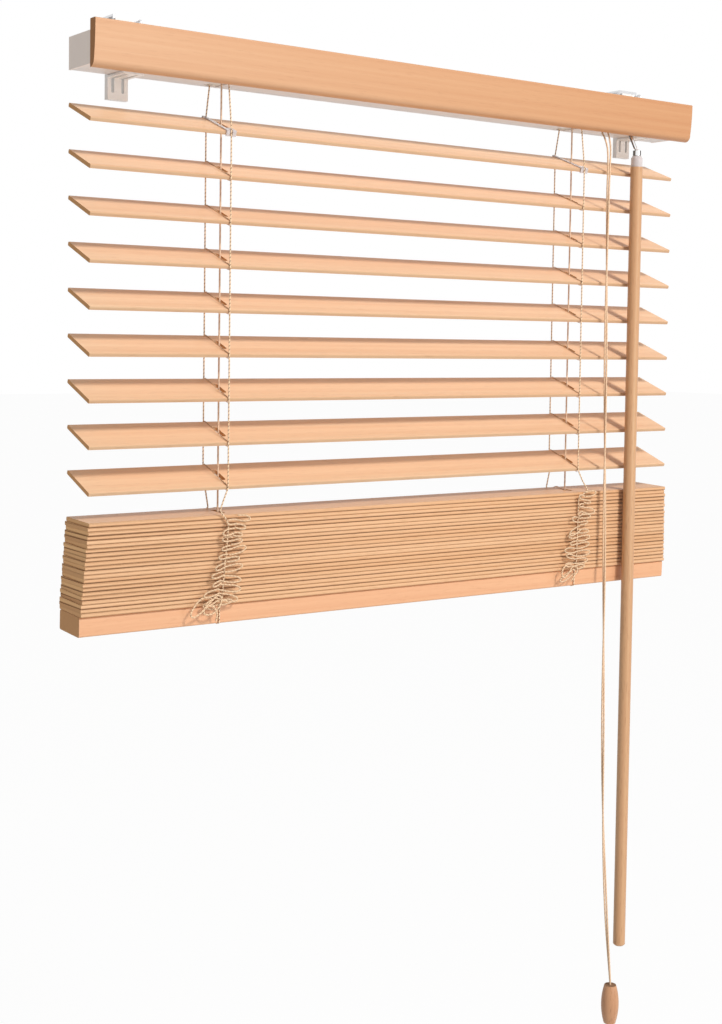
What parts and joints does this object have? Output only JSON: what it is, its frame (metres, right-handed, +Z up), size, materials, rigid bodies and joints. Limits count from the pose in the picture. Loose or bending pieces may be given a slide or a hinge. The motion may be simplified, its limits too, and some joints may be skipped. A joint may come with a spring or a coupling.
{
  "type": "wooden venetian blind",
  "caption": "Wooden venetian blind on sash hooks: valance, headrail, tilting slats on cord ladders, gathered stack, turning wand and pull cord.",
  "frame": {"origin": "midway between the two bracket screw holes, on the brackets' back faces", "axes": "+X along the blind to the right as seen from the room, +Y into the window, +Z up"},
  "size_m": [0.551, 0.0808, 0.7822],
  "materials": {
    "wood": "clear satin lacquer on pale beech",
    "white_metal": "white painted steel channel",
    "white_plastic": "white moulded plastic",
    "inner_plastic": "off-white moulded plastic",
    "clear_plastic": "clear moulded plastic",
    "steel": "zinc plated steel",
    "chrome": "bright chrome",
    "cord": "braided tan polyester cord"
  },
  "bodies": {
    "headrail": {"headrail": "white_metal", "end_caps": "white_plastic", "valance": "wood", "valance_clips": "clear_plastic", "bracket_left": "white_plastic", "bracket_right": "white_plastic", "sash_hooks": "steel", "clamp_screws": "steel", "drum_cradles": "inner_plastic", "tilter_housing": "inner_plastic", "cord_lock": "inner_plastic", "ladder_left": "cord", "ladder_right": "cord", "lift_cords": "cord", "pull_cord": "cord"},
    "tilt_rod": {"tilt_rod": "steel", "ladder_drums": "inner_plastic", "worm_wheel": "inner_plastic"},
    "tilter_shaft": {"tilter_shaft": "chrome"},
    "wand_socket": {"wand_socket": "chrome"},
    "wand": {"wand": "wood", "wand_cap": "clear_plastic"},
    "cord_lock_pawl": {"cord_lock_pawl": "steel"},
    "bottom_rail": {"bottom_rail": "wood", "rail_plugs": "wood"},
    "tassel": {"tassel": "wood"},
    "slat_01": {"slat_01": "wood", "slat_clips": "clear_plastic"},
    "slat_02": {"slat_02": "wood"},
    "slat_03": {"slat_03": "wood"},
    "slat_04": {"slat_04": "wood"},
    "slat_05": {"slat_05": "wood"},
    "slat_06": {"slat_06": "wood"},
    "slat_07": {"slat_07": "wood"},
    "slat_08": {"slat_08": "wood"},
    "slat_09": {"slat_09": "wood"},
    "stack_slat_01": {"stack_slat_01": "wood"},
    "stack_slat_02": {"stack_slat_02": "wood"},
    "stack_slat_03": {"stack_slat_03": "wood"},
    "stack_slat_04": {"stack_slat_04": "wood"},
    "stack_slat_05": {"stack_slat_05": "wood"},
    "stack_slat_06": {"stack_slat_06": "wood"},
    "stack_slat_07": {"stack_slat_07": "wood"},
    "stack_slat_08": {"stack_slat_08": "wood"},
    "stack_slat_09": {"stack_slat_09": "wood"},
    "stack_slat_10": {"stack_slat_10": "wood"},
    "stack_slat_11": {"stack_slat_11": "wood"},
    "stack_slat_12": {"stack_slat_12": "wood"},
    "stack_slat_13": {"stack_slat_13": "wood"},
    "stack_slat_14": {"stack_slat_14": "wood"},
    "stack_slat_15": {"stack_slat_15": "wood"},
    "stack_slat_16": {"stack_slat_16": "wood"},
    "stack_slat_17": {"stack_slat_17": "wood"},
    "stack_slat_18": {"stack_slat_18": "wood"},
    "stack_slat_19": {"stack_slat_19": "wood"},
    "stack_slat_20": {"stack_slat_20": "wood"},
    "stack_slat_21": {"stack_slat_21": "wood"},
    "stack_slat_22": {"stack_slat_22": "wood"}
  },
  "joints": [
    {"name": "wand_swing", "type": "hinge", "parent": "headrail", "child": "wand_socket", "pos_m": [0.2125, -0.0458, -0.0275], "axis": [-1, 0, 0], "range_deg": [0, 45]},
    {"name": "wand_turn", "type": "hinge", "parent": "wand_socket", "child": "wand", "pos_m": [0.2125, -0.0458, -0.0275], "axis": [0, 0, 1], "range_deg": [-1619.52, 900.48]},
    {"name": "shaft_turn", "type": "hinge", "parent": "headrail", "child": "tilter_shaft", "pos_m": [0.2125, -0.0458, -0.0275], "axis": [0, 0.4848, 0.8746], "range_deg": [-1619.53, 900.49]},
    {"name": "rod_turn", "type": "hinge", "parent": "headrail", "child": "tilt_rod", "pos_m": [0, -0.0218, 0], "axis": [1, 0, 0], "range_deg": [-269.93, 150.09]},
    {"name": "slat_01_tilt", "type": "hinge", "parent": "headrail", "child": "slat_01", "pos_m": [-0.006, -0.0218, -0.0396], "axis": [1, 0, 0], "range_deg": [-96.41, 53.61]},
    {"name": "slat_02_tilt", "type": "hinge", "parent": "headrail", "child": "slat_02", "pos_m": [-0.006, -0.0218, -0.0698], "axis": [1, 0, 0], "range_deg": [-96.41, 53.61]},
    {"name": "slat_03_tilt", "type": "hinge", "parent": "headrail", "child": "slat_03", "pos_m": [-0.006, -0.0218, -0.1], "axis": [1, 0, 0], "range_deg": [-96.41, 53.61]},
    {"name": "slat_04_tilt", "type": "hinge", "parent": "headrail", "child": "slat_04", "pos_m": [-0.006, -0.0218, -0.1302], "axis": [1, 0, 0], "range_deg": [-96.41, 53.61]},
    {"name": "slat_05_tilt", "type": "hinge", "parent": "headrail", "child": "slat_05", "pos_m": [-0.006, -0.0218, -0.1604], "axis": [1, 0, 0], "range_deg": [-96.41, 53.61]},
    {"name": "slat_06_tilt", "type": "hinge", "parent": "headrail", "child": "slat_06", "pos_m": [-0.006, -0.0218, -0.1906], "axis": [1, 0, 0], "range_deg": [-96.41, 53.61]},
    {"name": "slat_07_tilt", "type": "hinge", "parent": "headrail", "child": "slat_07", "pos_m": [-0.006, -0.0218, -0.2208], "axis": [1, 0, 0], "range_deg": [-96.41, 53.61]},
    {"name": "slat_08_tilt", "type": "hinge", "parent": "headrail", "child": "slat_08", "pos_m": [-0.006, -0.0218, -0.251], "axis": [1, 0, 0], "range_deg": [-96.41, 53.61]},
    {"name": "slat_09_tilt", "type": "hinge", "parent": "headrail", "child": "slat_09", "pos_m": [-0.006, -0.0218, -0.2812], "axis": [1, 0, 0], "range_deg": [-96.41, 53.61]},
    {"name": "pawl_turn", "type": "hinge", "parent": "headrail", "child": "cord_lock_pawl", "pos_m": [0.1845, -0.0329, 0], "axis": [0, 1, 0], "range_deg": [-25, 25]},
    {"name": "rail_drop", "type": "slide", "parent": "headrail", "child": "bottom_rail", "axis": [0, 0, -1], "range_m": [0, 0.6001], "deforming": ["ladder_left", "ladder_right", "lift_cords", "pull_cord"]},
    {"name": "stack_slat_01_drop", "type": "slide", "parent": "headrail", "child": "stack_slat_01", "axis": [0, 0, -1], "range_m": [0, 0.00461]},
    {"name": "stack_slat_02_drop", "type": "slide", "parent": "headrail", "child": "stack_slat_02", "axis": [0, 0, -1], "range_m": [0, 0.03192]},
    {"name": "stack_slat_03_drop", "type": "slide", "parent": "headrail", "child": "stack_slat_03", "axis": [0, 0, -1], "range_m": [0, 0.05923]},
    {"name": "stack_slat_04_drop", "type": "slide", "parent": "headrail", "child": "stack_slat_04", "axis": [0, 0, -1], "range_m": [0, 0.08654]},
    {"name": "stack_slat_05_drop", "type": "slide", "parent": "headrail", "child": "stack_slat_05", "axis": [0, 0, -1], "range_m": [0, 0.11386]},
    {"name": "stack_slat_06_drop", "type": "slide", "parent": "headrail", "child": "stack_slat_06", "axis": [0, 0, -1], "range_m": [0, 0.14117]},
    {"name": "stack_slat_07_drop", "type": "slide", "parent": "headrail", "child": "stack_slat_07", "axis": [0, 0, -1], "range_m": [0, 0.16848]},
    {"name": "stack_slat_08_drop", "type": "slide", "parent": "headrail", "child": "stack_slat_08", "axis": [0, 0, -1], "range_m": [0, 0.19579]},
    {"name": "stack_slat_09_drop", "type": "slide", "parent": "headrail", "child": "stack_slat_09", "axis": [0, 0, -1], "range_m": [0, 0.2231]},
    {"name": "stack_slat_10_drop", "type": "slide", "parent": "headrail", "child": "stack_slat_10", "axis": [0, 0, -1], "range_m": [0, 0.25041]},
    {"name": "stack_slat_11_drop", "type": "slide", "parent": "headrail", "child": "stack_slat_11", "axis": [0, 0, -1], "range_m": [0, 0.27772]},
    {"name": "stack_slat_12_drop", "type": "slide", "parent": "headrail", "child": "stack_slat_12", "axis": [0, 0, -1], "range_m": [0, 0.30504]},
    {"name": "stack_slat_13_drop", "type": "slide", "parent": "headrail", "child": "stack_slat_13", "axis": [0, 0, -1], "range_m": [0, 0.33235]},
    {"name": "stack_slat_14_drop", "type": "slide", "parent": "headrail", "child": "stack_slat_14", "axis": [0, 0, -1], "range_m": [0, 0.35966]},
    {"name": "stack_slat_15_drop", "type": "slide", "parent": "headrail", "child": "stack_slat_15", "axis": [0, 0, -1], "range_m": [0, 0.38697]},
    {"name": "stack_slat_16_drop", "type": "slide", "parent": "headrail", "child": "stack_slat_16", "axis": [0, 0, -1], "range_m": [0, 0.41428]},
    {"name": "stack_slat_17_drop", "type": "slide", "parent": "headrail", "child": "stack_slat_17", "axis": [0, 0, -1], "range_m": [0, 0.44159]},
    {"name": "stack_slat_18_drop", "type": "slide", "parent": "headrail", "child": "stack_slat_18", "axis": [0, 0, -1], "range_m": [0, 0.4689]},
    {"name": "stack_slat_19_drop", "type": "slide", "parent": "headrail", "child": "stack_slat_19", "axis": [0, 0, -1], "range_m": [0, 0.49622]},
    {"name": "stack_slat_20_drop", "type": "slide", "parent": "headrail", "child": "stack_slat_20", "axis": [0, 0, -1], "range_m": [0, 0.52353]},
    {"name": "stack_slat_21_drop", "type": "slide", "parent": "headrail", "child": "stack_slat_21", "axis": [0, 0, -1], "range_m": [0, 0.55084]},
    {"name": "stack_slat_22_drop", "type": "slide", "parent": "headrail", "child": "stack_slat_22", "axis": [0, 0, -1], "range_m": [0, 0.57815]},
    {"name": "tassel_rise", "type": "slide", "parent": "headrail", "child": "tassel", "axis": [0, 0, 1], "range_m": [0, 0.60011]}
  ],
  "couplings": [
    {"joint": "shaft_turn", "follows": "wand_turn", "ratio": 1},
    {"joint": "rod_turn", "follows": "wand_turn", "ratio": 0.16667},
    {"joint": "slat_01_tilt", "follows": "wand_turn", "ratio": 0.059524},
    {"joint": "slat_02_tilt", "follows": "wand_turn", "ratio": 0.059524},
    {"joint": "slat_03_tilt", "follows": "wand_turn", "ratio": 0.059524},
    {"joint": "slat_04_tilt", "follows": "wand_turn", "ratio": 0.059524},
    {"joint": "slat_05_tilt", "follows": "wand_turn", "ratio": 0.059524},
    {"joint": "slat_06_tilt", "follows": "wand_turn", "ratio": 0.059524},
    {"joint": "slat_07_tilt", "follows": "wand_turn", "ratio": 0.059524},
    {"joint": "slat_08_tilt", "follows": "wand_turn", "ratio": 0.059524},
    {"joint": "slat_09_tilt", "follows": "wand_turn", "ratio": 0.059524},
    {"joint": "stack_slat_01_drop", "follows": "rail_drop", "ratio": 0.007666},
    {"joint": "stack_slat_02_drop", "follows": "rail_drop", "ratio": 0.053177},
    {"joint": "stack_slat_03_drop", "follows": "rail_drop", "ratio": 0.098688},
    {"joint": "stack_slat_04_drop", "follows": "rail_drop", "ratio": 0.1442},
    {"joint": "stack_slat_05_drop", "follows": "rail_drop", "ratio": 0.18971},
    {"joint": "stack_slat_06_drop", "follows": "rail_drop", "ratio": 0.23522},
    {"joint": "stack_slat_07_drop", "follows": "rail_drop", "ratio": 0.28073},
    {"joint": "stack_slat_08_drop", "follows": "rail_drop", "ratio": 0.32625},
    {"joint": "stack_slat_09_drop", "follows": "rail_drop", "ratio": 0.37176},
    {"joint": "stack_slat_10_drop", "follows": "rail_drop", "ratio": 0.41727},
    {"joint": "stack_slat_11_drop", "follows": "rail_drop", "ratio": 0.46278},
    {"joint": "stack_slat_12_drop", "follows": "rail_drop", "ratio": 0.50829},
    {"joint": "stack_slat_13_drop", "follows": "rail_drop", "ratio": 0.5538},
    {"joint": "stack_slat_14_drop", "follows": "rail_drop", "ratio": 0.59931},
    {"joint": "stack_slat_15_drop", "follows": "rail_drop", "ratio": 0.64482},
    {"joint": "stack_slat_16_drop", "follows": "rail_drop", "ratio": 0.69034},
    {"joint": "stack_slat_17_drop", "follows": "rail_drop", "ratio": 0.73585},
    {"joint": "stack_slat_18_drop", "follows": "rail_drop", "ratio": 0.78136},
    {"joint": "stack_slat_19_drop", "follows": "rail_drop", "ratio": 0.82687},
    {"joint": "stack_slat_20_drop", "follows": "rail_drop", "ratio": 0.87238},
    {"joint": "stack_slat_21_drop", "follows": "rail_drop", "ratio": 0.91789},
    {"joint": "stack_slat_22_drop", "follows": "rail_drop", "ratio": 0.9634},
    {"joint": "tassel_rise", "follows": "rail_drop", "ratio": 1}
  ]
}
